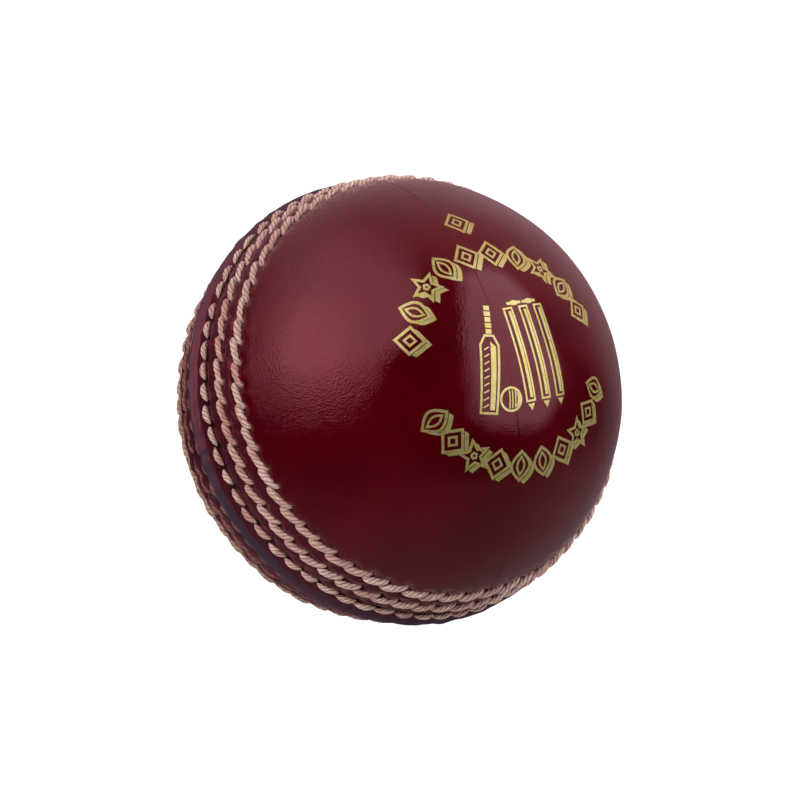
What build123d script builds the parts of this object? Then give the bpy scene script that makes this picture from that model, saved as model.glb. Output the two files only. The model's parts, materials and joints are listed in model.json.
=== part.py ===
from build123d import *

import os
from math import asin, cos, degrees, floor, pi, radians, sin, sqrt

# A cricket ball: a cork and rubber nucleus, quilted with layers of cork and wool, in four leather
# quarters. Each pair of quarters makes a cup, and the cups are sewn together with six rows of stitches.
# Millimetres. The origin is the centre of the ball, and +Z is the axis of the seam, towards the emblem.

# ---- Driving dimensions ----------------------------------------------------------------------

ball_dia = 72.0               # leather sphere, without the lip and the stitches
leather_wall = 4.0            # leather after moulding
join_gap = 0.10               # between the rims of the two cups
quarter_gap = 0.10            # between the two quarters of a cup
lip_rise = 1.00               # pinched rims above the leather sphere

layer_count = 5               # cork layers, each bound by a wool winding
cork_wall = 2.2
wool_wall = 1.5
layer_fit = 0.05              # between one layer and the next
cork_strips = 6               # strips in one cork layer
strip_gap = 0.4               # between two strips, at the widest place
strip_end = 9.0               # radius of the hole that the strips leave at the two ends, as an angle

thread_dia = 1.40             # waxed linen thread of the seam
thread_rise = 0.60            # top of a stitch above the leather
thread_gap = 0.17             # between two stitches side by side
stitch_slant = 27.0           # of a stitch to its row, in degrees
inner_offset = 2.25           # from the join to the inner row, along the leather
row_pitch = 4.25              # from one row to the next
short_stitch = 2.8            # length over the ends, inner row
long_stitch = 4.8             # length over the ends, middle and outer row
leg_dia = 0.90                # thread where it is pulled through the leather
awl_clearance = 0.05          # all round the thread in its hole
lip_clearance = 0.10          # between the lip and the inner stitches

link_dia = 0.80               # closing thread where it crosses the join inside
link_clearance = 0.05

quarter_thread_dia = 0.70     # fine thread of the hidden quarter seams
quarter_stitch = 5.0          # length of its stitches, across the quarter seam
quarter_pitch = 3.2           # from one of its stitches to the next, at the leather's inside
lining_wall = 0.60            # backing strip over each quarter seam
lining_width = 8.0
lining_clearance = 0.05

foil_wall = 0.12              # emblem
emblem_right = 0.7            # centre of the emblem, from the pole
emblem_up = -1.5
ring_radius = 16.6            # to the middle of its broken ring of shapes
top_pitch = 15.8              # between two shapes of the ring, in degrees
bottom_pitch = 14.4
lone_radius = 22.6            # to the shape that stands alone above the ring
shape_height = 4.2
shape_width = 2.8
star_waist = 0.46             # inner radius of a star, as a share of its outer one
stump_places = (0.6, 3.6, 6.6)
stump_width = 1.5
stump_foot = -7.4
stump_top = 7.2
bail_gap = 0.5                # between the stumps and the bails, and between the two bails
bail_height = 0.7
bat_foot = (-7.0, -8.0)
bat_lean = -14.0              # in degrees
blade_width = 3.0
blade_length = 10.4
shoulder = 1.5                # height of the slope between the blade and the handle
handle_width = 1.1
handle_length = 5.0
emblem_ball_dia = 3.5
emblem_ball_place = (-2.9, -6.6)

# ---- Derived places --------------------------------------------------------------------------

ball_r = ball_dia / 2
inside_r = ball_r - leather_wall
row_offsets = {
    "inner": inner_offset,
    "middle": inner_offset + row_pitch,
    "outer": inner_offset + 2 * row_pitch,
}
stitch_lengths = {"inner": short_stitch, "middle": long_stitch, "outer": long_stitch}
stitch_pitch = (thread_dia + thread_gap) / sin(radians(stitch_slant))
short_reach = thread_dia / 2 + (short_stitch - thread_dia) / 2 * sin(radians(stitch_slant))
lip_half = inner_offset - short_reach - lip_clearance
link_groove = link_dia + 2 * link_clearance
link_half = inner_offset + leg_dia
recess_depth = lining_wall + quarter_thread_dia + 3 * lining_clearance
outer_latitude = degrees((row_offsets["outer"] + leg_dia) / ball_r)
recess_edge = 90 - outer_latitude - degrees(leg_dia / inside_r)     # from the pole, in degrees
top_shapes = ["lozenge", "oval", "star", "oval", "lozenge"] * 2
bottom_shapes = ["oval", "lozenge", "star", "lozenge", "oval"] * 2

# The cups are drawn alike, with the quarter seam over the X axis. The upper one is turned so that its
# seam runs over the Y axis, and the lower one is turned over, so that the two quarter seams cross.
cup_places = {
    "upper": Location((0, 0, 0), (0, 0, 90)),
    "lower": Location((0, 0, 0), (180, 0, 0)),
}

os.makedirs("parts", exist_ok=True)
made = {}


def finish(builder, name):
    """Label a finished piece and write its STEP file."""
    builder.part.label = name
    export_step(builder.part, f"parts/{name}.step")
    made[name] = builder.part


def on_circle(radius, angle):
    """A point at an angle, in degrees, above the first axis of a sketch."""
    return (radius * cos(radians(angle)), radius * sin(radians(angle)))


def stitch_count(row):
    """How many stitches fit round a row."""
    circle = 2 * pi * ball_r * cos(row_offsets[row] / ball_r)
    return floor(circle / stitch_pitch)


def tangent_plane(row, radius, slant=0.0):
    """A plane facing outwards over a row, with its first axis along the row, turned by the slant.

    It stands a quarter of a stitch pitch round from the +X axis, so that no awl hole
    meets the quarter seam.
    """
    latitude = row_offsets[row] / ball_r
    longitude = radians(360 / stitch_count(row) / 4)
    outwards = Vector(cos(latitude) * cos(longitude), cos(latitude) * sin(longitude), sin(latitude))
    along = Vector(-sin(longitude), cos(longitude), 0)
    upwards = outwards.cross(along)
    turn = radians(slant)
    return Plane(origin=outwards * radius, x_dir=along * cos(turn) + upwards * sin(turn), z_dir=outwards)


def shell(inner, outer):
    """A closed spherical shell."""
    with BuildPart() as ball:
        Sphere(outer)
        Sphere(inner, mode=Mode.SUBTRACT)
    return ball


def ring(inner, outer, half_width, plane):
    """A flat ring, centred on a plane through the origin."""
    with BuildPart() as band:
        with BuildSketch(plane):
            Circle(outer)
            Circle(inner, mode=Mode.SUBTRACT)
        extrude(amount=half_width, both=True)
    return band


# ---- Core: a nucleus, then cork and wool in turn ----------------------------------------------

layer_wall = cork_wall + wool_wall + 2 * layer_fit
nucleus_r = inside_r - layer_fit - layer_count * layer_wall

with BuildPart() as nucleus:
    Sphere(nucleus_r)
finish(nucleus, "nucleus")


def cork_layer(inner, turn):
    """Strips of cork sheet laid from pole to pole, with the ends trimmed short of the poles."""
    outer = inner + cork_wall
    half_strip = 180 / cork_strips - degrees(strip_gap / 2 / outer)
    with BuildPart() as strip:
        with BuildSketch(Plane.XZ.rotated((0, 0, turn - half_strip))):
            with BuildLine():
                CenterArc((0, 0), outer, strip_end - 90, 180 - 2 * strip_end)
                CenterArc((0, 0), inner, strip_end - 90, 180 - 2 * strip_end)
                Line(on_circle(inner, 90 - strip_end), on_circle(outer, 90 - strip_end))
                Line(on_circle(inner, strip_end - 90), on_circle(outer, strip_end - 90))
            make_face()
        revolve(axis=Axis.Z, revolution_arc=2 * half_strip)
    with BuildPart() as layer:
        with PolarLocations(0, cork_strips):
            add(strip.part)
    return layer


for number in range(1, layer_count + 1):
    cork_inner = nucleus_r + layer_fit + (number - 1) * layer_wall
    wool_inner = cork_inner + cork_wall + layer_fit
    finish(cork_layer(cork_inner, 180 / cork_strips * number), f"cork_layer_{number}")
    finish(shell(wool_inner, wool_inner + wool_wall), f"wool_winding_{number}")


# ---- Stitches: a slanted bead on the leather, and the leg that it is pulled down by --------------

leather_ball = shell(1.0, ball_r)


def stitch_row(row):
    """One row of stitches round the upper cup."""
    bead_r = thread_dia / 2
    bead_half = stitch_lengths[row] / 2 - bead_r
    leg_floor = inside_r + (link_groove + link_clearance if row == "inner" else layer_fit)
    with BuildPart() as stitch:
        with BuildSketch(tangent_plane(row, ball_r + thread_rise - bead_r, stitch_slant)):
            with BuildLine():
                Line((-bead_half - bead_r, 0), (bead_half + bead_r, 0))
                CenterArc((bead_half, 0), bead_r, 0, 90)
                Line((bead_half, bead_r), (-bead_half, bead_r))
                CenterArc((-bead_half, 0), bead_r, 90, 90)
            make_face()
        revolve(axis=Axis(tangent_plane(row, ball_r + thread_rise - bead_r, stitch_slant).origin,
                          tangent_plane(row, ball_r, stitch_slant).x_dir))
        add(leather_ball.part, mode=Mode.SUBTRACT)
        with BuildSketch(tangent_plane(row, leg_floor)):
            Circle(leg_dia / 2)
        extrude(amount=ball_r - leg_floor + thread_rise / 2)
    with BuildPart() as whole_row:
        with PolarLocations(0, stitch_count(row)):
            add(stitch.part)
    return whole_row


def awl_pin(row):
    """The shape of one awl hole, a little wider than the thread's leg."""
    with BuildPart() as pin:
        with BuildSketch(tangent_plane(row, inside_r - 1)):
            Circle(leg_dia / 2 + awl_clearance)
        extrude(amount=leather_wall + 1 + lip_rise + thread_rise)
    return pin


# ---- Leather cup: moulded wall, raised lip, awl holes, and a skived recess over the quarter seam ---

rim_z = join_gap / 2
lip_foot = degrees(lip_half / ball_r)
lip_base, lip_top = on_circle(ball_r, lip_foot)

with BuildPart() as cup:
    with BuildSketch(Plane.XZ):
        with BuildLine():
            CenterArc((0, 0), ball_r, lip_foot, 90 - lip_foot)
            EllipticalCenterArc((lip_base, rim_z), ball_r + lip_rise - lip_base, lip_top - rim_z, arc_size=90)
            Line((ball_r + lip_rise, rim_z), (sqrt(inside_r ** 2 - rim_z ** 2), rim_z))
            CenterArc((0, 0), inside_r, degrees(asin(rim_z / inside_r)), 90 - degrees(asin(rim_z / inside_r)))
            Line((0, inside_r), (0, ball_r))
        make_face()
    revolve(axis=Axis.Z)
    add(ring(inside_r - 1, inside_r + link_groove, link_half, Plane.XY).part, mode=Mode.SUBTRACT)
    for row in row_offsets:
        with PolarLocations(0, stitch_count(row)):
            add(awl_pin(row).part, mode=Mode.SUBTRACT)


def pole_sector(inner, outer, half_width, edge):
    """A strip over the quarter seam, from one edge angle to the other through the pole."""
    with BuildPart() as strip:
        with BuildSketch(Plane.XZ):
            with BuildLine():
                CenterArc((0, 0), outer, 90 - edge, 2 * edge)
                CenterArc((0, 0), inner, 90 - edge, 2 * edge)
                Line(on_circle(inner, 90 - edge), on_circle(outer, 90 - edge))
                Line(on_circle(inner, 90 + edge), on_circle(outer, 90 + edge))
            make_face()
        extrude(amount=half_width, both=True)
    return strip


recess = pole_sector(inside_r - 1, inside_r + recess_depth, lining_width / 2 + lining_clearance, recess_edge)


def quarter(side):
    """Half of a cup, cut along the quarter seam."""
    with BuildPart() as piece:
        add(cup.part)
        add(recess.part, mode=Mode.SUBTRACT)
        split(bisect_by=Plane.XZ.offset(side * quarter_gap / 2), keep=Keep.TOP if side > 0 else Keep.BOTTOM)
    return piece


# ---- Lining and hidden thread of the quarter seam ---------------------------------------------

lining_edge = recess_edge - degrees(lining_clearance / inside_r)
lining_inner = inside_r + lining_clearance
thread_circle = lining_inner + lining_wall + lining_clearance + quarter_thread_dia / 2
thread_reach = lining_edge - degrees(quarter_thread_dia / inside_r)
thread_step = degrees(quarter_pitch / inside_r)
steps = floor(thread_reach / thread_step)

lining = pole_sector(lining_inner, lining_inner + lining_wall, lining_width / 2, lining_edge)

with BuildPart() as quarter_thread:
    for step in range(-steps, steps + 1):
        with BuildSketch(Plane.XZ.offset(-quarter_stitch / 2)):
            with Locations(on_circle(thread_circle, 90 + step * thread_step)):
                Circle(quarter_thread_dia / 2)
        extrude(amount=quarter_stitch)
    fillet(quarter_thread.edges().filter_by(GeomType.CIRCLE), quarter_thread_dia * 0.3)


# ---- The two cups, each with what is sewn to it ---------------------------------------------------

upper_pieces = {
    "leather_quarter_{}_a": quarter(1),
    "leather_quarter_{}_b": quarter(-1),
    "quarter_lining_{}": lining,
    "quarter_thread_{}": quarter_thread,
    "stitches_inner_{}": stitch_row("inner"),
    "stitches_middle_{}": stitch_row("middle"),
    "stitches_outer_{}": stitch_row("outer"),
}

for cup_name, place in cup_places.items():
    for pattern, source in upper_pieces.items():
        with BuildPart() as placed:
            with Locations(place):
                add(source.part)
        finish(placed, pattern.format(cup_name))


# ---- Closing thread: crosses the join inside, from an inner stitch to the one across -------------

with BuildPart() as closing_thread:
    with PolarLocations(inside_r + link_groove / 2, stitch_count("inner")):
        Cylinder(link_dia / 2, 2 * (link_half - link_clearance))
finish(closing_thread, "closing_thread")


# ---- Emblem: a wicket, a bat and a ball inside a broken ring of plain shapes, in foil ---------------

def ring_shape(kind):
    """A shape of the ring, with its height along the first axis."""
    if kind == "oval":
        Ellipse(shape_height / 2, shape_width / 2)
    elif kind == "lozenge":
        Polygon(
            (shape_height / 2, 0),
            (0, shape_width / 2),
            (-shape_height / 2, 0),
            (0, -shape_width / 2),
        )
    else:
        tips = [on_circle(shape_height / 2, 72 * number) for number in range(5)]
        waists = [on_circle(shape_height / 2 * star_waist, 72 * number + 36) for number in range(5)]
        Polygon(*[point for pair in zip(tips, waists) for point in pair], align=None)


def ring_of_shapes(kinds, middle, pitch, radius):
    """Shapes side by side on a circle, centred on a direction."""
    for number, kind in enumerate(kinds):
        with PolarLocations(radius, 1, middle + ((len(kinds) - 1) / 2 - number) * pitch):
            ring_shape(kind)


foil_shell = shell(ball_r, ball_r + foil_wall)

with BuildPart() as emblem_foil:
    with BuildSketch(Plane(origin=(emblem_right, emblem_up, ball_r / 2))):
        ring_of_shapes(top_shapes, 90, top_pitch, ring_radius)
        ring_of_shapes(bottom_shapes, -90, bottom_pitch, ring_radius)
        ring_of_shapes(["lozenge"], 90, 0, lone_radius)
        for place in stump_places:
            with Locations((place, (stump_foot + stump_top) / 2)):
                Rectangle(stump_width, stump_top - stump_foot)
        for left, right in zip(stump_places, stump_places[1:]):
            with Locations(((left + right) / 2, stump_top + bail_gap + bail_height / 2)):
                Rectangle(right - left - bail_gap, bail_height)
        with Locations(Location((*bat_foot, 0), (0, 0, bat_lean))):
            Polygon(
                (-blade_width / 2, 0),
                (blade_width / 2, 0),
                (blade_width / 2, blade_length),
                (handle_width / 2, blade_length + shoulder),
                (handle_width / 2, blade_length + shoulder + handle_length),
                (-handle_width / 2, blade_length + shoulder + handle_length),
                (-handle_width / 2, blade_length + shoulder),
                (-blade_width / 2, blade_length),
                align=None,
            )
        with Locations(emblem_ball_place):
            Circle(emblem_ball_dia / 2)
    extrude(amount=ball_r)
    add(foil_shell.part, mode=Mode.INTERSECT)
finish(emblem_foil, "emblem_foil")

print(f"{len(made)} pieces, {sum(len(piece.solids()) for piece in made.values())} solids")
print({row: stitch_count(row) for row in row_offsets})
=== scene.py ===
import json
from math import cos, floor, pi, radians, sin, sqrt

import bmesh
import bpy
import numpy as np
from mathutils import Matrix, Vector


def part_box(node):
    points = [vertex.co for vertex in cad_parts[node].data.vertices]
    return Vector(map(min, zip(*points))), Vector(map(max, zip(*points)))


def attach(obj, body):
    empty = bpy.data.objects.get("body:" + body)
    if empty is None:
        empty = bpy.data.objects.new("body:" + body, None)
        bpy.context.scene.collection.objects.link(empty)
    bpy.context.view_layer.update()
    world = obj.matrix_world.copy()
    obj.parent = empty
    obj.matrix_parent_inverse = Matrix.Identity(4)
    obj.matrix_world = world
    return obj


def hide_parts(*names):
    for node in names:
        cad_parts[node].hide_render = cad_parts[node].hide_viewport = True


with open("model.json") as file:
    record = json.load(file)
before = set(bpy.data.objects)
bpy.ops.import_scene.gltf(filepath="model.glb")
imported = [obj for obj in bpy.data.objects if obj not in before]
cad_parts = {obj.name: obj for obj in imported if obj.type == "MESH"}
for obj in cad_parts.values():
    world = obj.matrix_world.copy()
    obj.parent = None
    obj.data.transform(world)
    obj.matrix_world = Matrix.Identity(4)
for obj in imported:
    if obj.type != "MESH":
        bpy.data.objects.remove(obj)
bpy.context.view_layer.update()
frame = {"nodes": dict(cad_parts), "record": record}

# A cricket ball. Lengths are in millimetres until a mesh is made, which turns them into metres.
# +Z is the axis of the seam, towards the emblem, and +Y is the emblem's upright direction.

MM = 0.001

# ---- Sizes taken from the frame --------------------------------------------------------------

BALL_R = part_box("leather_quarter_upper_a")[1][2] / MM          # leather sphere, at the pole
CORE_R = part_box("wool_winding_5")[1][2] / MM                   # the core inside the leather
LEATHER_INSIDE = CORE_R + 0.05
FLOOR_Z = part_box("leather_quarter_lower_a")[0][2]              # the ball rests on its lower pole

# ---- The seam: three rows of stitches on each cup ------------------------------------------------

ROWS = ("inner", "middle", "outer")
ROW_OFFSET = {"inner": 2.25, "middle": 6.5, "outer": 10.75}    # from the join, along the leather
ROW_LENGTH = {"inner": 3.4, "middle": 4.6, "outer": 4.7}       # of one stitch
ROW_WIDTH = {"inner": 1.22, "middle": 1.26, "outer": 1.36}     # of its yarn
ROW_SLANT = {"inner": 13.0, "middle": 16.5, "outer": 18.0}     # to the row, in degrees
STITCH_PITCH = 3.46       # from one stitch to the next, at least
FIRST_STITCH = 0.25       # place of the first one, in pitches from the quarter seam

# How much the stitches of a row differ from one another.
ALONG_SPREAD = 0.10
ACROSS_SPREAD = 0.08
LENGTH_SPREAD = 0.05      # as a share
WIDTH_SPREAD = 0.04       # as a share
SLANT_SPREAD = 2.5        # in degrees
RISE_SPREAD = 0.05
INNER_LOOSENESS = 1.6     # the inner row's places and lengths differ this many times as much
STAIN_POWER = 2.5         # most stitches are little stained, and a few are much stained
LOWER_CUP_SEED = 100

# The upper rows stray from the join on one side, and come a little closer to it on the other.
ROW_LEAN = {"upper": 1.7, "lower": 0.0}
LEAN_BEARING = 105.6      # where they stray most, in the cup's own longitude
LEAN_BACK = -0.25         # share of that by which they come closer

# On one side of the lower cup the stitches are pressed in, and darkened by painted shade.
ROW_SINK = {"inner": 0.36, "middle": 0.44, "outer": 0.22}
SHADED_BEARING = 164.4      # the middle of that stretch, in the lower cup's own longitude
SHADED_SLOPE = 1.8          # how quickly the sinking and the painted shade fade away from there
SHADED_CUT = 0.35           # how much of it is lost all the way round

# The upper cup as drawn: its quarter seam runs over the local X axis. Columns are the local axes.
CUP_AXES = {
    "upper": np.array([[0, -1, 0], [1, 0, 0], [0, 0, 1]], float),     # a quarter turn about Z
    "lower": np.array([[1, 0, 0], [0, -1, 0], [0, 0, -1]], float),    # turned over about X
}


def rng(seed):
    """A seeded source of random numbers."""
    return np.random.default_rng(seed)


def lean(cup, longitude):
    """How far the rows of a cup have strayed from the join."""
    return ROW_LEAN[cup] * np.maximum(np.cos(longitude - radians(LEAN_BEARING)), LEAN_BACK)


class Row:
    """The stitches of one row: where each one is, and how it differs from its neighbours."""

    def __init__(self, cup, name):
        self.cup, self.name = cup, name
        self.offset = ROW_OFFSET[name]
        self.latitude = self.offset / BALL_R
        circle = 2 * pi * BALL_R * cos(self.latitude)
        self.count = floor(circle / STITCH_PITCH)
        self.pitch = circle / self.count
        draw = rng(11 + 3 * ROWS.index(name) + (LOWER_CUP_SEED if cup == "lower" else 0))
        loose = INNER_LOOSENESS if name == "inner" else 1.0
        self.along = draw.normal(0, ALONG_SPREAD * loose, self.count)
        self.across = draw.normal(0, ACROSS_SPREAD, self.count)
        self.length = ROW_LENGTH[name] * (1 + draw.normal(0, LENGTH_SPREAD * loose, self.count))
        self.width = ROW_WIDTH[name] * (1 + draw.normal(0, WIDTH_SPREAD, self.count))
        self.slant = np.radians(ROW_SLANT[name] + draw.normal(0, SLANT_SPREAD, self.count))
        self.sink_shade = self.sink_shaded()
        self.rise = draw.normal(0, RISE_SPREAD, self.count) - ROW_SINK[name] * self.sink_shade
        self.twist = draw.uniform(0, 2 * pi, self.count)
        self.shade = draw.uniform(0, 1, self.count)
        self.stain = draw.uniform(0, 1, self.count) ** STAIN_POWER

    def sink_shaded(self):
        """How far each stitch is pressed in and darkened with painted shade, from 0 to 1."""
        if self.cup == "upper":
            return np.zeros(self.count)
        longitude = (np.arange(self.count) + FIRST_STITCH) * 2 * pi / self.count
        return np.clip(SHADED_SLOPE * np.cos(longitude - radians(SHADED_BEARING)) - SHADED_CUT, 0, 1)

    def centre(self, i):
        """Longitude and latitude, in radians, of a stitch's middle."""
        along = (i + FIRST_STITCH) * self.pitch + self.along[i]
        longitude = along / (BALL_R * cos(self.latitude))
        return longitude, (self.offset + self.across[i] + lean(self.cup, longitude)) / BALL_R


SEAM = {(cup, name): Row(cup, name) for cup in CUP_AXES for name in ROWS}


# ---- The leather's surface -----------------------------------------------------------------------

LIP_RISE = 1.00           # crest of the pinched rims
LIP_HALF = 0.90           # half its width
LIP_POWER = 4             # how square it is
JOIN_DIP = (0.07, 0.10)   # depth and width of the line where the two rims meet
SEAM_BED = 12.6           # the leather is worked as far as this from the join
SEAM_MESH = SEAM_BED + 1.4
RIDGES = ((4.3, 1.05, 0.10), (8.6, 1.05, 0.16), (12.4, 0.9, 0.06))    # place, width and height
VALLEY = (0.16, 0.75)     # depth and width of the leather under a row
AWL_PLACE = {"inner": 1.0, "middle": 0.86, "outer": 0.86}      # share of half the stitch's length
AWL_DEPTH = {"inner": 0.40, "middle": 0.45, "outer": 0.45}
AWL_SIZE = (0.42, 0.40)   # along and across the row
PUCKER_DEPTH = 0.16       # of the pulled leather beside each hole
PUCKER_SIZE = (1.0, 0.60)
PUCKER_SHIFT = 0.95       # from the hole to the middle of it
WORKED_LUMPS = (0.05, 2.2, 5)                      # height, size and seed, within the worked leather
PLAIN_LUMPS = ((0.05, 16, 3), (0.005, 3.4, 4))     # and all over
QUARTER_GROOVE = (0.020, 0.14)                     # depth and width, where two quarters meet
QUARTER_SWELL = (0.012, 0.7)                       # height and width of the leather turned in there


def bell(x, width):
    return np.exp(-0.5 * (x / width) ** 2)


def lumps(points, size, seed, waves=14):
    """A smooth random field of about unit height, with lumps of about the given size."""
    draw = rng(seed)
    total = np.zeros(points.shape[:-1])
    for _ in range(waves):
        direction = draw.normal(0, 1, 3)
        direction /= np.linalg.norm(direction)
        wave = 2 * pi / (size * draw.uniform(0.7, 1.6))
        total += np.sin(points @ direction * wave + draw.uniform(0, 2 * pi))
    return total / sqrt(waves / 2)


def row_relief(row, longitude, distance):
    """How the stitches of a row press the leather in and pucker it beside them."""
    turn = np.mod(longitude, 2 * pi) * BALL_R * cos(row.latitude) / row.pitch - FIRST_STITCH
    nearest = np.round(turn).astype(int)
    depth, width = VALLEY
    relief = -depth * bell(distance - row.offset, width)
    for step in (-1, 0, 1):
        i = np.mod(nearest + step, row.count)
        s = (turn - nearest - step) * row.pitch - row.along[i]
        t = distance - row.offset - row.across[i]
        half = row.length[i] / 2 * AWL_PLACE[row.name]
        for end in (-1, 1):
            ds = s - end * half * np.cos(row.slant[i])
            dt = t - end * half * np.sin(row.slant[i])
            relief -= AWL_DEPTH[row.name] * bell(np.hypot(ds / AWL_SIZE[0], dt / AWL_SIZE[1]), 1)
            beside = dt - end * PUCKER_SHIFT
            relief -= PUCKER_DEPTH * bell(np.hypot(ds / PUCKER_SIZE[0], beside / PUCKER_SIZE[1]), 1)
    return relief


def leather_rise(cup, longitude, latitude, world):
    """Height of the leather above its sphere, in a cup's own longitude and latitude."""
    distance = latitude * BALL_R
    rise = LIP_RISE * np.exp(-(distance / LIP_HALF) ** LIP_POWER)
    rise -= JOIN_DIP[0] * bell(distance, JOIN_DIP[1])
    from_rows = distance - lean(cup, longitude)
    for place, width, height in RIDGES:
        rise += height * bell(from_rows - place, width)
    for name in ROWS:
        rise += row_relief(SEAM[cup, name], longitude, from_rows)
    height, size, seed = WORKED_LUMPS
    worked = np.clip((SEAM_BED + 1.5 - distance) / 3, 0, 1)
    rise += height * worked * lumps(world, size, seed)
    for height, size, seed in PLAIN_LUMPS:
        rise += height * lumps(world, size, seed)
    seam = np.abs(np.sin(longitude)) * np.cos(latitude) * BALL_R
    rise -= QUARTER_GROOVE[0] * np.exp(-(seam / QUARTER_GROOVE[1]) ** 2)
    rise += QUARTER_SWELL[0] * np.exp(-(seam / QUARTER_SWELL[1]) ** 2)
    return rise


def on_sphere(cup, longitude, latitude, radius):
    """Points in the row frame from a cup's own longitude, latitude and radius."""
    local = np.stack([
        np.cos(latitude) * np.cos(longitude),
        np.cos(latitude) * np.sin(longitude),
        np.sin(latitude),
    ], -1)
    return (local * np.asarray(radius)[..., None]) @ CUP_AXES[cup].T


def leather_point(cup, longitude, latitude, lift=0.0):
    """Points on the leather, or a little above it."""
    world = on_sphere(cup, longitude, latitude, np.full(np.shape(longitude), BALL_R))
    height = BALL_R + leather_rise(cup, longitude, latitude, world) + lift
    return on_sphere(cup, longitude, latitude, height)


# ---- Mesh making ------------------------------------------------------------------------------

def make_mesh(name, points, faces, smooth=True, **layers):
    """An object from points in millimetres, with optional float layers, one value for each point."""
    mesh = bpy.data.meshes.new(name)
    mesh.from_pydata((np.asarray(points) * MM).tolist(), [], faces)
    for layer, values in layers.items():
        attribute = mesh.attributes.new(layer, "FLOAT", "POINT")
        attribute.data.foreach_set("value", np.asarray(values, np.float32))
    mesh.polygons.foreach_set("use_smooth", [smooth] * len(mesh.polygons))
    mesh.update()
    piece = bpy.data.objects.new(name, mesh)
    bpy.context.scene.collection.objects.link(piece)
    return piece


slots = {entry["node"]: entry["material_slot"] for entry in frame["record"]["subparts"]}


def stands_for(piece, node, material):
    """The piece takes the node's place and its material."""
    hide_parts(node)
    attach(piece, "root")
    piece.data.materials.append(material)


# ---- Leather quarters ----------------------------------------------------------------------------

QUARTER_GAP = 0.004       # half the gap between two quarters
JOIN_GAP = 0.02           # half the gap between the cups
SEAM_STEPS = 84           # rows of points over the worked leather
PLAIN_STEPS = 62          # over the plain leather
CROWN_START = 0.5         # last of these, from the pole
CROWN = (0.36, 0.25, 0.16, 0.09, 0.04)    # and the rows nearer to it


def latitude_steps():
    """Latitudes of the mesh: close together over the seam, wider over the plain leather."""
    pole = BALL_R * pi / 2
    seam = np.linspace(JOIN_GAP, SEAM_MESH, SEAM_STEPS)
    plain = np.linspace(SEAM_MESH, pole - CROWN_START, PLAIN_STEPS)[1:]
    return np.concatenate([seam, plain, pole - np.array(CROWN)]) / BALL_R


def leather_quarter(cup, side, columns=560, deep_rows=16):
    """A closed shell: the outer surface, a coarse flesh side, and the cut edges between them."""
    start = 0 if side > 0 else -pi
    longitudes = np.linspace(start, start + pi, columns + 1)
    lat, lon = np.meshgrid(latitude_steps(), longitudes, indexing="ij")
    deep_steps = np.linspace(lat[0, 0], lat[-1, 0], deep_rows)
    deep_lat, deep_lon = np.meshgrid(deep_steps, longitudes, indexing="ij")
    push = np.array([0, side * QUARTER_GAP, 0]) @ CUP_AXES[cup].T
    outer = leather_point(cup, lon, lat) + push
    inner = on_sphere(cup, deep_lon, deep_lat, np.full(deep_lon.shape, LEATHER_INSIDE)) + push
    pole = np.array([0, 0, 1.0]) @ CUP_AXES[cup].T
    apex = np.array([start + pi / 2]), np.array([pi / 2])
    apex_rise = leather_rise(cup, *apex, pole[None] * BALL_R)[0]
    points = np.concatenate([
        outer.reshape(-1, 3), inner.reshape(-1, 3),
        [pole * (BALL_R + apex_rise) + push, pole * LEATHER_INSIDE + push],
    ])
    index = np.arange(lon.size).reshape(lon.shape)
    inside = lon.size + np.arange(deep_lon.size).reshape(deep_lon.shape)
    top = lon.size + deep_lon.size
    low = top + 1
    faces = []

    def quads(a, b, c, d):
        faces.extend(np.stack([a, b, c, d], -1).reshape(-1, 4).tolist())

    quads(index[:-1, :-1], index[:-1, 1:], index[1:, 1:], index[1:, :-1])
    quads(inside[1:, :-1], inside[1:, 1:], inside[:-1, 1:], inside[:-1, :-1])
    quads(inside[0, :-1], inside[0, 1:], index[0, 1:], index[0, :-1])
    faces += [[a, b, top] for a, b in zip(index[-1, :-1].tolist(), index[-1, 1:].tolist())]
    faces += [[b, a, low] for a, b in zip(inside[-1, :-1].tolist(), inside[-1, 1:].tolist())]
    for column, way in ((0, 1), (-1, -1)):
        cut = index[:, column].tolist() + [top, low] + inside[::-1, column].tolist()
        faces.append(cut[::way])
    hollow = np.clip(-np.linalg.norm(points, axis=1) + BALL_R, 0, 1)
    distance = np.concatenate([lat.ravel(), deep_lat.ravel(), [pi / 2] * 2]) * BALL_R
    return make_mesh(f"leather_{cup}_{'a' if side < 0 else 'b'}_skin", points, faces,
                     hollow=hollow, from_join=distance)


# ---- Stitches ---------------------------------------------------------------------------------------

YARN_PLIES = 4
YARN_AROUND = 32          # points round the yarn
YARN_ALONG = 38           # and along a stitch
YARN_TURN = 45.0          # of the plies to the yarn, in degrees
YARN_SWELL = 0.05         # how unevenly thick it is, as a share
PLY_DEPTH = 0.24          # of the groove between two plies, as a share of the yarn's radius
PLY_POWER = 1.5
PLY_WANDER = ((0.22, 2.3), (0.12, 5.1))    # how the twist wanders: radians, and waves along the yarn


def short_form(t):
    """Height, bend, taper and flatness of an inner stitch, a bead that dives at both ends."""
    middle = 2 * t - 1
    height = 0.34 * (1 - middle ** 2) - 0.14
    bend = 0.06 * np.sin(pi * t)
    taper = (1 - np.abs(middle) ** 2.0) ** (1 / 1.5)
    return height, bend, taper, 0.80


def long_form(t):
    """The same of the other stitches: each comes up steeply, and goes down under the next one."""
    height = 0.10 - 1.05 * np.clip(t - 0.30, 0, 1) ** 1.6 - 1.6 * np.clip(0.16 - t, 0, 1)
    bend = 0.12 * np.sin(2 * pi * t)
    taper = (1 - np.abs(2 * t - 1) ** 3.2) ** (1 / 2.0)
    return height, bend, taper, 0.86


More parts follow.
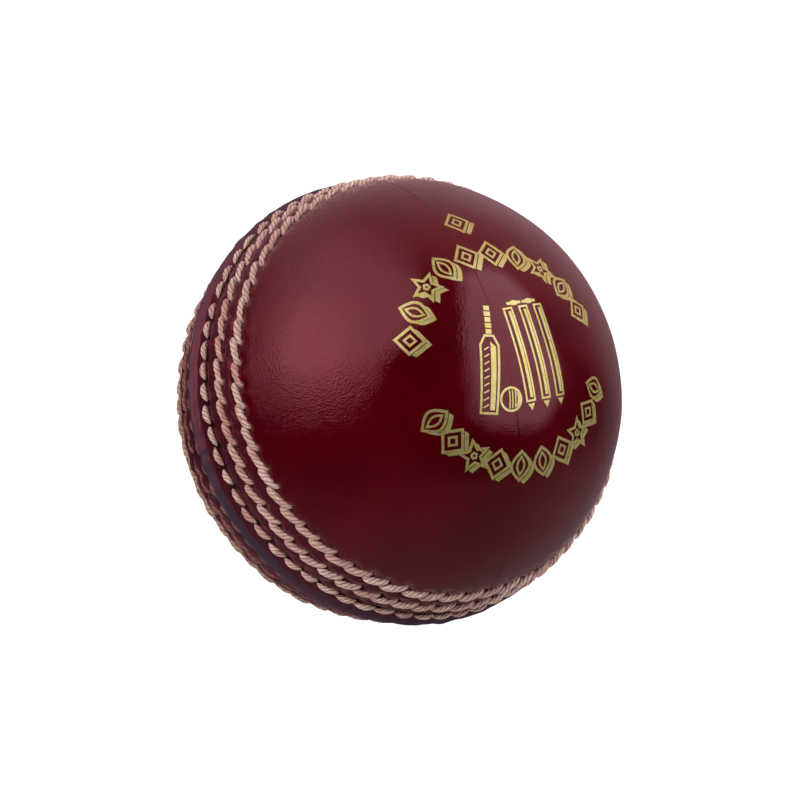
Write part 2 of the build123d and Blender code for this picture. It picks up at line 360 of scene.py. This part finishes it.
def stitch_points(row, i):
    """Points of one stitch of twisted yarn, and how near each one is to the crest of a ply."""
    t = np.linspace(0, 1, YARN_ALONG)[:, None]
    a = np.linspace(0, 2 * pi, YARN_AROUND, endpoint=False)[None, :]
    width = row.width[i]
    s = (t - 0.5) * row.length[i]
    height, bend, taper, flatness = (short_form if row.name == "inner" else long_form)(t)
    twist = row.twist[i] - s * np.tan(radians(YARN_TURN)) / (width / 2)
    for (turn, waves), phase in zip(PLY_WANDER, (5 * row.shade[i], row.twist[i])):
        twist = twist + turn * np.sin(waves * s + phase)
    lobe = np.abs(np.cos(YARN_PLIES / 2 * (a - twist)))
    ply = 1 - PLY_DEPTH * (1 - lobe) ** PLY_POWER
    fat = width / 2 * taper * (1 + YARN_SWELL * np.sin(5 * t + row.twist[i]))
    side = fat * ply * np.cos(a) + bend
    up = fat * ply * np.sin(a) * flatness + height + row.rise[i]
    along = s * np.cos(row.slant[i]) - side * np.sin(row.slant[i])
    across = s * np.sin(row.slant[i]) + side * np.cos(row.slant[i])
    longitude, latitude = row.centre(i)
    lon = longitude + along / (BALL_R * cos(row.latitude))
    lat = latitude + across / BALL_R
    return on_sphere(row.cup, lon, lat, BALL_R + up).reshape(-1, 3), lobe.ravel()


def tube_faces(first, along, around):
    """Faces of a closed tube of rings, with a fan at each end."""
    ring = first + np.arange(along * around).reshape(along, around)
    turned = np.roll(ring, -1, axis=1)
    sides = np.stack([ring[:-1], turned[:-1], turned[1:], ring[1:]], -1).reshape(-1, 4).tolist()
    return sides + [ring[0, ::-1].tolist(), ring[-1].tolist()]


def stitch_row(row):
    """All the stitches of a row, as one piece."""
    stitches, lobes = zip(*(stitch_points(row, i) for i in range(row.count)))
    each = len(stitches[0])
    faces = []
    for i in range(row.count):
        faces += tube_faces(i * each, YARN_ALONG, YARN_AROUND)
    layers = {"shade": row.shade, "stain": row.stain, "sink_shade": row.sink_shade}
    return make_mesh(f"stitches_{row.name}_{row.cup}_yarn", np.concatenate(stitches), faces,
                     ply=np.concatenate(lobes),
                     **{layer: np.repeat(values, each) for layer, values in layers.items()})


# ---- Emblem -----------------------------------------------------------------------------------------

FOIL_LIFT = 0.012         # underside of the foil above the leather
FOIL_WALL = 0.035
FOIL_LINE = 0.46          # width of a drawn line
FOIL_SEGMENT = 0.9        # longest edge that isn't cut in two, so that the foil follows the ball
SHADOW = (0.74, -0.62)    # how far a shape throws its engraved shadow
SHADOW_SPAN = (0.42, 1.25)    # where the shadow starts and stops, as shares of that
SHADOW_FACING = 0.15      # cosine to the throw from which an edge has a shadow
HOLE_LINE = 0.8           # an inner line's width, as a share of the outer one's
MITRE_LIMIT = 0.45        # smallest cosine that a corner is widened by
EMBLEM_CENTRE = (2.34, -1.04)

GLYPH_RADIUS = 17.3       # ring of ornaments, measured over the leather from its centre
GLYPH_HEIGHT = 4.2
LONE_RADIUS = 24.4        # the single ornament over the ring
UPPER_ARC = ("lozenge", "leaf", "star", "leaf", "lozenge") * 2
LOWER_ARC = ("leaf", "lozenge", "star", "lozenge", "leaf") * 2
UPPER_STEP, LOWER_STEP = 15.8, 14.4    # between two ornaments, in degrees

STUMPS = (0.6, 3.6, 6.6)  # the wicket, the bat that leans beside it, and the ball at its foot
STUMP_FOOT, STUMP_TOP = -7.4, 7.2
STUMP_WIDTH, STUMP_LINE = 1.5, 0.32
BAIL_WIDTHS = [0.34, 0.5, 0.42, 0.62, 0.8, 0.85, 0.8, 0.62, 0.42, 0.5, 0.34]
BAT_LEAN = -14.0
BAT_FOOT = (-7.0, -8.0)
BAT_BLADE = [(-1.35, 0), (1.35, 0), (1.5, 10.4), (0.72, 11.9), (-0.72, 11.9), (-1.5, 10.4)]
BAT_SPINE = [(0.15, 0.5), (0.95, 0.5), (1.05, 10.2), (0.15, 11.0)]
BAT_LINE = 0.36
BALL_SIZE = 1.75
BALL_PLACE = (-2.9, -6.6)
CRESCENT_WIDTHS = [0.08, 0.18, 0.3, 0.36, 0.4, 0.42, 0.4, 0.36, 0.3, 0.18, 0.08]


class Foil:
    """Flat shapes in the emblem's plane: x to the right and y up, measured over the leather."""

    def __init__(self):
        self.bm = bmesh.new()

    def patch(self, corners):
        """A filled convex shape."""
        self.bm.faces.new([self.bm.verts.new((x, y, 0)) for x, y in corners])

    def line(self, path, width=FOIL_LINE, closed=False):
        """A drawn line of one width, or of a width at each point."""
        path = [Vector(point) for point in path]
        count = len(path)
        widths = width if isinstance(width, (list, tuple)) else [width] * count
        sides = []
        for k, here in enumerate(path):
            before = path[k - 1] if (closed or k > 0) else here
            after = path[(k + 1) % count] if (closed or k < count - 1) else here
            into, out = (here - before), (after - here)
            into = into.normalized() if into.length > 0 else out.normalized()
            out = out.normalized() if out.length > 0 else into
            along = (into + out).normalized() if (into + out).length > 0.2 else out
            mitre = 1 / max(MITRE_LIMIT, along.dot(out))
            across = Vector((-along.y, along.x)) * widths[k] / 2 * mitre
            sides.append((here + across, here - across))
        for k in range(count if closed else count - 1):
            (a, b), (c, d) = sides[k], sides[(k + 1) % count]
            self.patch([a, b, d, c])

    def glyph(self, outline, hole=None):
        """An outlined ornament, with an engraved shadow thrown from its lower right edges."""
        self.line(outline, closed=True)
        throw = Vector(SHADOW)
        points = [Vector(point) for point in outline]
        turn = sum(a.cross(b) for a, b in zip(points, points[1:] + points[:1]))
        for a, b in zip(points, points[1:] + points[:1]):
            edge = b - a
            outward = Vector((edge.y, -edge.x)) * (1 if turn > 0 else -1)
            if outward.normalized().dot(throw.normalized()) > SHADOW_FACING:
                near, far = (throw * share for share in SHADOW_SPAN)
                self.patch([a + near, b + near, b + far, a + far])
        if hole is not None:
            self.line(hole, width=FOIL_LINE * HOLE_LINE, closed=True)

    def piece(self, name):
        """The shapes laid on the leather as thin closed sheets."""
        bm = self.bm
        bmesh.ops.recalc_face_normals(bm, faces=bm.faces)
        for face in bm.faces:
            if face.normal.z < 0:
                face.normal_flip()
        for _ in range(3):
            long_edges = [edge for edge in bm.edges if edge.calc_length() > FOIL_SEGMENT]
            if long_edges:
                bmesh.ops.subdivide_edges(bm, edges=long_edges, cuts=1, use_grid_fill=True)
        bmesh.ops.triangulate(bm, faces=bm.faces)
        bmesh.ops.remove_doubles(bm, verts=bm.verts, dist=1e-5)
        bm.verts.index_update()
        flat = np.array([vertex.co[:2] for vertex in bm.verts])
        flat += EMBLEM_CENTRE
        top = on_leather(flat, FOIL_LIFT + FOIL_WALL)
        low = on_leather(flat, FOIL_LIFT)
        count = len(flat)
        faces = [[vertex.index for vertex in face.verts] for face in bm.faces]
        walls = [[loop.vert.index, loop.vert.index + count,
                  loop.link_loop_next.vert.index + count, loop.link_loop_next.vert.index]
                 for edge in bm.edges if edge.is_boundary for loop in edge.link_loops]
        under = [[index + count for index in reversed(face)] for face in faces]
        bm.free()
        return make_mesh(name, np.concatenate([top, low]), faces + under + walls, smooth=False)


def on_leather(flat, lift):
    """Points over the upper cup, from distances to the right of the pole and above it."""
    reach = np.hypot(flat[:, 0], flat[:, 1])
    bearing = np.arctan2(flat[:, 1], flat[:, 0]) - pi / 2
    return leather_point("upper", bearing, pi / 2 - reach / BALL_R, lift)


def turned(points, angle, shift=(0.0, 0.0)):
    """Points turned about the origin and then shifted."""
    c, s = cos(radians(angle)), sin(radians(angle))
    return [(c * x - s * y + shift[0], s * x + c * y + shift[1]) for x, y in points]


def loop_of(sides, radius, squash=1.0, start=90.0):
    """A regular outline, squashed across."""
    angles = [radians(start + k * (360 / sides)) for k in range(sides)]
    return [(radius * squash * cos(angle), radius * sin(angle)) for angle in angles]


def bar(x, low, high, width):
    """An upright rectangle."""
    left, right = x - width / 2, x + width / 2
    return [(left, low), (right, low), (right, high), (left, high)]


def ornament(kind):
    """One of the ring's plain shapes, upright, with an inner line."""
    half = GLYPH_HEIGHT / 2
    if kind == "lozenge":
        return loop_of(4, half * 1.08, 0.95), loop_of(4, half * 0.42, 0.95)
    if kind == "star":
        points = [(half * 1.12 if k % 2 == 0 else half * 0.52, 90 + 36 * k) for k in range(10)]
        star = [(reach * cos(radians(angle)), reach * sin(radians(angle))) for reach, angle in points]
        return star, loop_of(5, half * 0.22)
    leaf = [(0.80 * half * sin(pi * k / 8), half * (1.1 - 2.2 * k / 8)) for k in range(9)]
    leaf += [(-x, y) for x, y in leaf[-2:0:-1]]
    return leaf, [(0.4 * x, 0.62 * y) for x, y in leaf]


def emblem():
    """A wicket, a bat that leans beside it and a ball, inside a broken ring of outlined shapes."""
    foil = Foil()

    def ring_of(kinds, middle, step, radius=GLYPH_RADIUS):
        for k, kind in enumerate(kinds):
            bearing = middle + ((len(kinds) - 1) / 2 - k) * step
            spin = bearing - 90
            outline, hole = ornament(kind)
            place = (radius * cos(radians(bearing)), radius * sin(radians(bearing)))
            foil.glyph(turned(outline, spin, place), turned(hole, spin, place))

    ring_of(UPPER_ARC, 90, UPPER_STEP)
    ring_of(LOWER_ARC, -90, LOWER_STEP)
    ring_of(["lozenge"], 90, 0, LONE_RADIUS)

    for x in STUMPS:
        foil.line(bar(x, STUMP_FOOT, STUMP_TOP, STUMP_WIDTH), width=STUMP_LINE, closed=True)
        foil.patch(bar(x + 0.22, STUMP_FOOT + 0.5, STUMP_TOP - 0.5, 0.5))
        foil.patch(turned(loop_of(3, 0.72), 180, (x, STUMP_FOOT - 0.8)))
    for a, b in zip(STUMPS, STUMPS[1:]):
        middle, half = (a + b) / 2, (b - a) / 2 - 0.12
        bail = [(middle + half * k / 5, STUMP_TOP + 0.75) for k in range(-5, 6)]
        foil.line(bail, width=BAIL_WIDTHS)

    def bat(points):
        return turned(points, BAT_LEAN, BAT_FOOT)

    foil.line(bat(BAT_BLADE), width=BAT_LINE, closed=True)
    foil.patch(bat(BAT_SPINE))
    for k in range(9):
        foil.line(bat([(-0.95, 0.8 + 1.1 * k), (-0.15, 1.3 + 1.1 * k)]), width=0.22)
    for k in range(5):
        foil.patch(bat(bar(0, 12.2 + 0.95 * k, 12.95 + 0.95 * k, 0.95 + 0.08 * (k % 2))))
    foil.line(turned(loop_of(28, BALL_SIZE), 0, BALL_PLACE), width=BAT_LINE, closed=True)
    for shift in (-0.5, 0.0, 0.5):
        seam = [(shift + 0.4 * sin(radians(9 * k)), -1.35 + 0.27 * k) for k in range(11)]
        foil.line(turned(seam, 0, BALL_PLACE), width=0.2)
    reach = 0.78 * BALL_SIZE
    crescent = [(reach * cos(radians(t)), reach * sin(radians(t))) for t in range(-70, 41, 11)]
    foil.line(turned(crescent, 0, BALL_PLACE), width=CRESCENT_WIDTHS)
    return foil.piece("emblem_foil_inlay")


# ---- Material building ----------------------------------------------------------------------------

class Shader:
    """A material's node tree, with short calls for the nodes that are used here."""

    def __init__(self, name):
        self.material = bpy.data.materials.new(name)
        self.material.use_nodes = True
        self.tree = self.material.node_tree
        self.principled = self.tree.nodes["Principled BSDF"]
        coordinates = self.tree.nodes.new("ShaderNodeTexCoord")
        self.place = coordinates.outputs["Object"]

    def set(self, **values):
        for key, value in values.items():
            self.principled.inputs[key.replace("_", " ")].default_value = value

    def link(self, source, target):
        self.tree.links.new(source, target)

    def add(self, kind, inputs=(), **settings):
        node = self.tree.nodes.new(kind)
        for key, value in settings.items():
            setattr(node, key, value)
        for key, value in dict(inputs).items():
            if isinstance(value, bpy.types.NodeSocket):
                self.link(value, node.inputs[key])
            else:
                node.inputs[key].default_value = value
        return node

    def noise(self, scale, detail=2.0, roughness=0.5, distortion=0.0):
        """Noise with this many lumps to the metre."""
        return self.add("ShaderNodeTexNoise", {
            "Vector": self.place, "Scale": scale, "Detail": detail,
            "Roughness": roughness, "Distortion": distortion,
        }).outputs["Fac"]

    def cells(self, scale):
        """Distance to the nearest of scattered points, this many to the metre."""
        node = self.add("ShaderNodeTexVoronoi", {"Vector": self.place, "Scale": scale})
        return node.outputs["Distance"]

    def attribute(self, name):
        return self.add("ShaderNodeAttribute", attribute_name=name).outputs["Fac"]

    def math(self, operation, a, b=0.5, c=0.5):
        return self.add("ShaderNodeMath", {0: a, 1: b, 2: c}, operation=operation).outputs[0]

    def span(self, value, low, high, out_low=0.0, out_high=1.0):
        """Maps low..high of a value to out_low..out_high, and clamps it."""
        node = self.add("ShaderNodeMapRange", {
            "Value": value, "From Min": low, "From Max": high, "To Min": out_low, "To Max": out_high,
        })
        return node.outputs["Result"]

    def mix(self, share, a, b, blend="MIX"):
        """A mix of two colours."""
        node = self.add("ShaderNodeMix", data_type="RGBA", blend_type=blend)
        for socket, value in ((node.inputs[0], share), (node.inputs[6], a), (node.inputs[7], b)):
            if isinstance(value, bpy.types.NodeSocket):
                self.link(value, socket)
            else:
                socket.default_value = value if isinstance(value, float) else (*value, 1.0)
        return node.outputs[2]

    def colour(self, source):
        self.link(source, self.principled.inputs["Base Color"])

    def rough(self, source):
        self.link(source, self.principled.inputs["Roughness"])

    def bump(self, height, strength, distance, normal=None):
        """Bumps of this height, in metres, over any bumps made before."""
        inputs = {"Height": height, "Strength": strength, "Distance": distance}
        if normal is not None:
            inputs["Normal"] = normal
        return self.add("ShaderNodeBump", inputs).outputs["Normal"]

    def normal(self, source, coat=True):
        self.link(source, self.principled.inputs["Normal"])
        if coat:
            self.link(source, self.principled.inputs["Coat Normal"])


def red_leather():
    """Oxblood leather under lacquer: fine grain, mottled colour, worn and dull at the seam, with a
    painted sheen and highlight on the lip and painted shade in the hollows.

    The layer from_join is a point's distance from the join, in millimetres, and hollow is how far
    it lies below the ball's sphere.
    """
    s = Shader("red_leather")
    s.set(IOR=1.5, Coat_IOR=1.5, Coat_Roughness=0.015,
          Specular_IOR_Level=1.0, Specular_Tint=(1.0, 0.02, 0.06, 1))
    mottle = s.span(s.noise(90, 4, 0.6), 0.35, 0.68)
    base = s.mix(mottle, (0.048, 0.0003, 0.0018), (0.068, 0.0008, 0.0032))
    from_join = s.attribute("from_join")
    seam = s.span(from_join, 13.5, 10.0)
    # How far below the sphere a point lies, for the painted shade in the hollows.
    low = s.span(s.attribute("hollow"), 0.0, 0.55)
    worked = s.mix(s.math("MULTIPLY", seam, 0.85), base, (0.050, 0.007, 0.014))
    # The lip's crest is worn darker and given a painted blue-grey sheen.
    lip = s.span(from_join, 1.35, 0.90)
    rubbed_and_sheen = s.mix(s.math("MULTIPLY", lip, 0.85), worked, (0.040, 0.034, 0.048))
    # A painted highlight along the join line, broken up by noise.
    highlight_line = s.span(from_join, 0.20, 0.08)
    broken_highlight = s.math("MULTIPLY", highlight_line, s.span(s.noise(260, 3, 0.6), 0.48, 0.60))
    join_highlight = s.mix(s.math("MULTIPLY", broken_highlight, 0.7), rubbed_and_sheen, (0.34, 0.20, 0.20))
    # Painted shade in the hollows: awl holes, puckers, valleys and the flesh side.
    pit_shade = s.mix(s.math("MULTIPLY", low, 0.9), join_highlight, (0.010, 0.003, 0.004))
    s.colour(pit_shade)
    s.rough(s.span(s.noise(400, 3, 0.6), 0.3, 0.7, 0.17, 0.24))
    s.link(s.span(from_join, 10.0, 13.0, 0.35, 1.0), s.principled.inputs["Coat Weight"])
    pressed = s.span(from_join, 31, 40, 1.0, 0.22)      # the grain is flatter round the emblem
    grain = s.math("MULTIPLY", s.cells(3600), pressed)
    fine = s.math("MULTIPLY", s.noise(7500, 2, 0.7), pressed)
    s.normal(s.bump(fine, 0.6, 0.000014, s.bump(grain, 0.6, 0.00008)))
    return s.material


def seam_thread(name, sink_shaded):
    """Twisted linen thread: pale on the crest of each ply, with painted shade between the plies, and
    stained.

    The second colour multiplies the thread's own as painted shade, where the stitch's layer says it is
    sunk.
    """
    s = Shader(name)
    s.set(Specular_IOR_Level=0.3, Sheen_Weight=0.05, Sheen_Roughness=0.5)
    shade = s.mix(s.attribute("shade"), (0.72, 0.46, 0.38), (0.90, 0.67, 0.57))
    blotch = s.span(s.noise(500, 3, 0.6), 0.42, 0.66)
    stained = s.mix(s.math("MULTIPLY", blotch, s.attribute("stain")), shade, (0.50, 0.18, 0.16))
    ply = s.span(s.attribute("ply"), 0.14, 0.76)
    fibre = s.noise(6500, 3, 0.75, 0.6)
    frayed = s.mix(s.span(fibre, 0.42, 0.62, 0.55, 0.0), stained, (0.28, 0.15, 0.11))
    # Painted shade in the grooves between the plies.
    ply_shaded = s.mix(ply, (0.21, 0.10, 0.08), frayed)
    # Over the sunk stretch of the lower cup the thread is darkened with painted shade.
    s.colour(s.mix(s.attribute("sink_shade"), ply_shaded, s.mix(1.0, sink_shaded, ply_shaded, "MULTIPLY")))
    s.rough(s.span(s.noise(1500, 2, 0.5), 0.3, 0.7, 0.55, 0.75))
    s.normal(s.bump(fibre, 0.7, 0.00010), coat=False)
    return s.material


def plain_core(name, dark, light, scale, bump):
    """A material for a hidden piece: two mottled colours and a bumpy, matt surface."""
    s = Shader(name)
    s.colour(s.mix(s.span(s.noise(scale, 4, 0.65), 0.35, 0.65), dark, light))
    s.rough(s.span(s.noise(scale * 3, 2, 0.5), 0.3, 0.7, 0.7, 0.95))
    s.normal(s.bump(s.noise(scale * 2, 4, 0.6), 0.6, bump), coat=False)
    return s.material


def gold_foil():
    """Hot-stamped foil: bright metal that follows the leather's grain, a little worn."""
    s = Shader("gold_foil")
    s.set(Metallic=0.85)
    worn = s.span(s.noise(900, 4, 0.7), 0.35, 0.6)
    s.colour(s.mix(worn, (0.94, 0.80, 0.19), (1.0, 0.94, 0.40)))
    s.rough(s.span(s.noise(1400, 3, 0.6), 0.3, 0.7, 0.26, 0.38))
    s.normal(s.bump(s.cells(3000), 0.4, 0.00005), coat=False)
    return s.material


LEATHER = red_leather()
# The second colour of each thread is painted shade over one stretch of the lower cup.
THREAD = seam_thread("seam_thread", (0.66, 0.60, 0.54))
SHADED_THREAD = seam_thread("seam_thread_shaded", (0.36, 0.18, 0.20))
FOIL = gold_foil()
MATERIALS = {
    "red_leather": LEATHER,
    "seam_thread": THREAD,
    "gold_foil": FOIL,
    "cork_rubber": plain_core("cork_rubber", (0.05, 0.03, 0.02), (0.20, 0.12, 0.07), 700, 0.0002),
    "cork": plain_core("cork", (0.22, 0.12, 0.06), (0.55, 0.37, 0.21), 500, 0.0003),
    "wool": plain_core("wool", (0.55, 0.48, 0.38), (0.80, 0.74, 0.62), 900, 0.0003),
    "lining": plain_core("lining", (0.45, 0.37, 0.26), (0.66, 0.58, 0.44), 1500, 0.0001),
    "fine_thread": plain_core("fine_thread", (0.60, 0.53, 0.42), (0.84, 0.78, 0.66), 2500, 0.0001),
}

for node, slot in slots.items():
    for place in frame["nodes"][node].material_slots:
        place.material = MATERIALS[slot]

# ---- Making the pieces ---------------------------------------------------------------------------

for cup in CUP_AXES:
    for letter, side in (("a", -1), ("b", 1)):
        stands_for(leather_quarter(cup, side), f"leather_quarter_{cup}_{letter}", LEATHER)
    for name in ROWS:
        yarn = THREAD if cup == "upper" or name == "outer" else SHADED_THREAD
        stands_for(stitch_row(SEAM[cup, name]), f"stitches_{name}_{cup}", yarn)

stands_for(emblem(), "emblem_foil", FOIL)

# ---- Camera ---------------------------------------------------------------------------------------

POLE_TILT = 29.0          # of the seam's axis away from the line of sight, in degrees
POLE_TURN = 26.1          # of that axis on the picture, above image-right
EMBLEM_TURN = 10.5        # of the emblem's upright, anticlockwise from the picture's
CAMERA_DISTANCE = 12.0    # in ball radii
SENSOR_WIDTH = 36.0
BALL_SHARE = 0.554        # of the picture's width, that the leather sphere spans


def view_axes():
    """The row frame's axes as the camera sees them: right, up and towards the camera."""
    tilt, turn, roll = radians(POLE_TILT), radians(POLE_TURN), radians(EMBLEM_TURN)
    z = np.array([sin(tilt) * cos(turn), sin(tilt) * sin(turn), cos(tilt)])
    up = np.array([0, 1.0, 0]) - z[1] * z
    up /= np.linalg.norm(up)
    right = np.cross(up, z)
    y = cos(roll) * up - sin(roll) * right
    return np.stack([np.cross(y, z), y, z])


VIEW = view_axes()        # maps camera directions to the row frame


def seen_at(x, y, z):
    """A direction in the row frame, from right, up and towards the camera."""
    return Vector(VIEW @ np.array([x, y, z]))


def make_camera():
    """A camera at the photo's angle, on a ball that fills its share of the picture."""
    data = bpy.data.cameras.new("camera")
    data.sensor_width = SENSOR_WIDTH
    half = BALL_SHARE / 2 * sqrt(CAMERA_DISTANCE ** 2 - 1)
    data.lens = data.sensor_width * half
    data.clip_start, data.clip_end = 0.01, 50
    camera = bpy.data.objects.new("camera", data)
    place = Matrix(VIEW.tolist()).to_4x4()
    place.translation = seen_at(0, 0, 1) * CAMERA_DISTANCE * BALL_R * MM
    camera.matrix_world = place
    bpy.context.scene.collection.objects.link(camera)
    bpy.context.scene.camera = camera


make_camera()

# ---- Floor and lights -----------------------------------------------------------------------------

def flat_plane(name, corners, material):
    """A flat piece of the stage, which isn't part of the ball."""
    mesh = bpy.data.meshes.new(name)
    mesh.from_pydata(corners, [], [list(range(len(corners)))])
    plane = bpy.data.objects.new(name, mesh)
    bpy.context.scene.collection.objects.link(plane)
    plane.data.materials.append(material)
    return plane


def facing(direction):
    """The rotation of a panel that stands in a direction, upright as the camera sees it."""
    outward = direction.normalized()
    upright = seen_at(0, 1, 0)
    upward = (upright - upright.dot(outward) * outward).normalized()
    across = upward.cross(outward)
    return Matrix((across, upward, outward)).transposed().to_euler()


def make_backdrop(half=3.0):
    """A pale floor, and pale walls and a ceiling that only the camera sees."""
    s = Shader("pale_backdrop")
    s.set(Base_Color=(0.15, 0.15, 0.15, 1), Roughness=0.9,
          Emission_Color=(1, 1, 1, 1), Emission_Strength=1.0)
    low, high = FLOOR_Z, FLOOR_Z + 2 * half
    around = [(-half, -half), (half, -half), (half, half), (-half, half)]
    sides = {"floor": [(x, y, low) for x, y in around], "ceiling": [(x, y, high) for x, y in around]}
    for k, (start, stop) in enumerate(zip(around, around[1:] + around[:1])):
        sides[f"wall_{k + 1}"] = [(*start, low), (*stop, low), (*stop, high), (*start, high)]
    for name, corners in sides.items():
        plane = flat_plane(name, corners, s.material)
        plane.visible_glossy = False
        plane.visible_diffuse = False
        plane.visible_shadow = False


LAMP_DISTANCE = 0.9       # of a panel or a lamp from the ball's centre, in metres
HOT_SPOT = 0.42           # radius of a panel's hot spot, in metres
KEY_OUTLINE = [(-0.58, -0.40), (-0.42, -0.64), (0.15, -0.68), (0.40, -0.50), (0.66, 0.0),
               (0.80, 0.45), (0.50, 0.76), (0.05, 0.90), (-0.58, 0.80)]
FILL_OUTLINE = [(-0.45, -0.42), (-0.41, -0.57), (-0.34, -0.63), (-0.10, -0.66), (0.15, -0.64),
                (0.36, -0.55), (0.46, -0.36), (0.45, -0.15), (0.40, 0.12), (0.40, 0.55),
                (0.25, 0.69), (-0.04, 0.66), (-0.26, 0.36), (-0.375, 0.10), (-0.42, -0.14)]


def softbox(name, direction, outline, low, high, tint, hot=0.0, hot_place=(0, 0)):
    """A glowing panel that faces the ball.

    Low and high are the brightness of its lower and upper edge, and hot is what its hot spot adds.
    """
    s = Shader(name)
    heights = [y for _, y in outline]
    upward = s.add("ShaderNodeSeparateXYZ", {0: s.place}).outputs["Y"]
    glow = s.span(upward, min(heights), max(heights), low, high)
    measure = s.add("ShaderNodeVectorMath", {0: s.place, 1: (*hot_place, 0)}, operation="DISTANCE")
    spot = s.math("POWER", s.span(measure.outputs["Value"], 0.0, HOT_SPOT, 1.0, 0.0), 2.0)
    s.set(Base_Color=(0, 0, 0, 1), Specular_IOR_Level=0.0, Emission_Color=(*tint, 1))
    s.link(s.math("MULTIPLY_ADD", spot, hot, glow), s.principled.inputs["Emission Strength"])
    plane = flat_plane(name, [(x, y, 0) for x, y in outline], s.material)
    plane.location = direction.normalized() * LAMP_DISTANCE
    plane.rotation_euler = facing(direction)
    plane.visible_camera = False


softbox("key_panel", seen_at(-0.560, 0.600, 0.573), KEY_OUTLINE, 1.25, 0.65,
        tint=(1.0, 0.86, 0.94), hot=0.9, hot_place=(-0.02, -0.20))
softbox("fill_panel", seen_at(0.807, 0.384, 0.449), FILL_OUTLINE, 0.80, 1.25,
        tint=(0.94, 0.86, 1.0))

# Where the dim studio glows: a direction from right, up and towards the camera, the cosines between
# which the glow grows, its strength and its colour.
STUDIO_LIGHT = [
    ((0.05, 0.80, -0.60), (0.38, 0.80), 0.34, (1.0, 0.58, 0.64)),      # warm ceiling, behind
    ((0.10, -0.85, -0.30), (0.30, 0.60), 0.13, (1.0, 0.86, 0.95)),     # pale table, below
]


def make_world():
    """A dim studio around the ball."""
    world = bpy.data.worlds.new("studio")
    world.use_nodes = True
    tree = world.node_tree
    add, link = tree.nodes.new, tree.links.new
    place = add("ShaderNodeTexCoord")
    total = None
    for direction, (start, stop), strength, colour in STUDIO_LIGHT:
        toward = add("ShaderNodeVectorMath")
        toward.operation = "DOT_PRODUCT"
        toward.inputs[1].default_value = seen_at(*direction).normalized()
        link(place.outputs["Generated"], toward.inputs[0])
        ramp = add("ShaderNodeMapRange")
        limits = {"From Min": start, "From Max": stop, "To Min": 0.0, "To Max": strength}
        for key, value in limits.items():
            ramp.inputs[key].default_value = value
        link(toward.outputs["Value"], ramp.inputs["Value"])
        glow = add("ShaderNodeVectorMath")
        glow.operation = "SCALE"
        glow.inputs[0].default_value = colour
        link(ramp.outputs["Result"], glow.inputs["Scale"])
        both = add("ShaderNodeVectorMath")
        both.operation = "ADD"
        link(glow.outputs["Vector"], both.inputs[0])
        if total is not None:
            link(total, both.inputs[1])
        total = both.outputs["Vector"]
    link(total, tree.nodes["Background"].inputs["Color"])
    bpy.context.scene.world = world


LAMP_SIZE = 0.8


def diffuse_lamp(name, direction, power):
    """A soft lamp that lights the ball without showing in its gloss."""
    data = bpy.data.lights.new(name, "AREA")
    data.size, data.energy = LAMP_SIZE, power
    lamp = bpy.data.objects.new(name, data)
    lamp.location = direction.normalized() * LAMP_DISTANCE
    lamp.rotation_euler = direction.to_track_quat("Z", "Y").to_euler()
    lamp.visible_glossy = False
    bpy.context.scene.collection.objects.link(lamp)


diffuse_lamp("key_glow", seen_at(-0.60, 0.45, 0.66), 12)
diffuse_lamp("table_glow", seen_at(0.05, -0.90, 0.40), 5)
diffuse_lamp("right_glow", seen_at(0.90, 0.40, -0.20), 14)
make_backdrop()
make_world()
bpy.context.scene.view_settings.view_transform = "Standard"
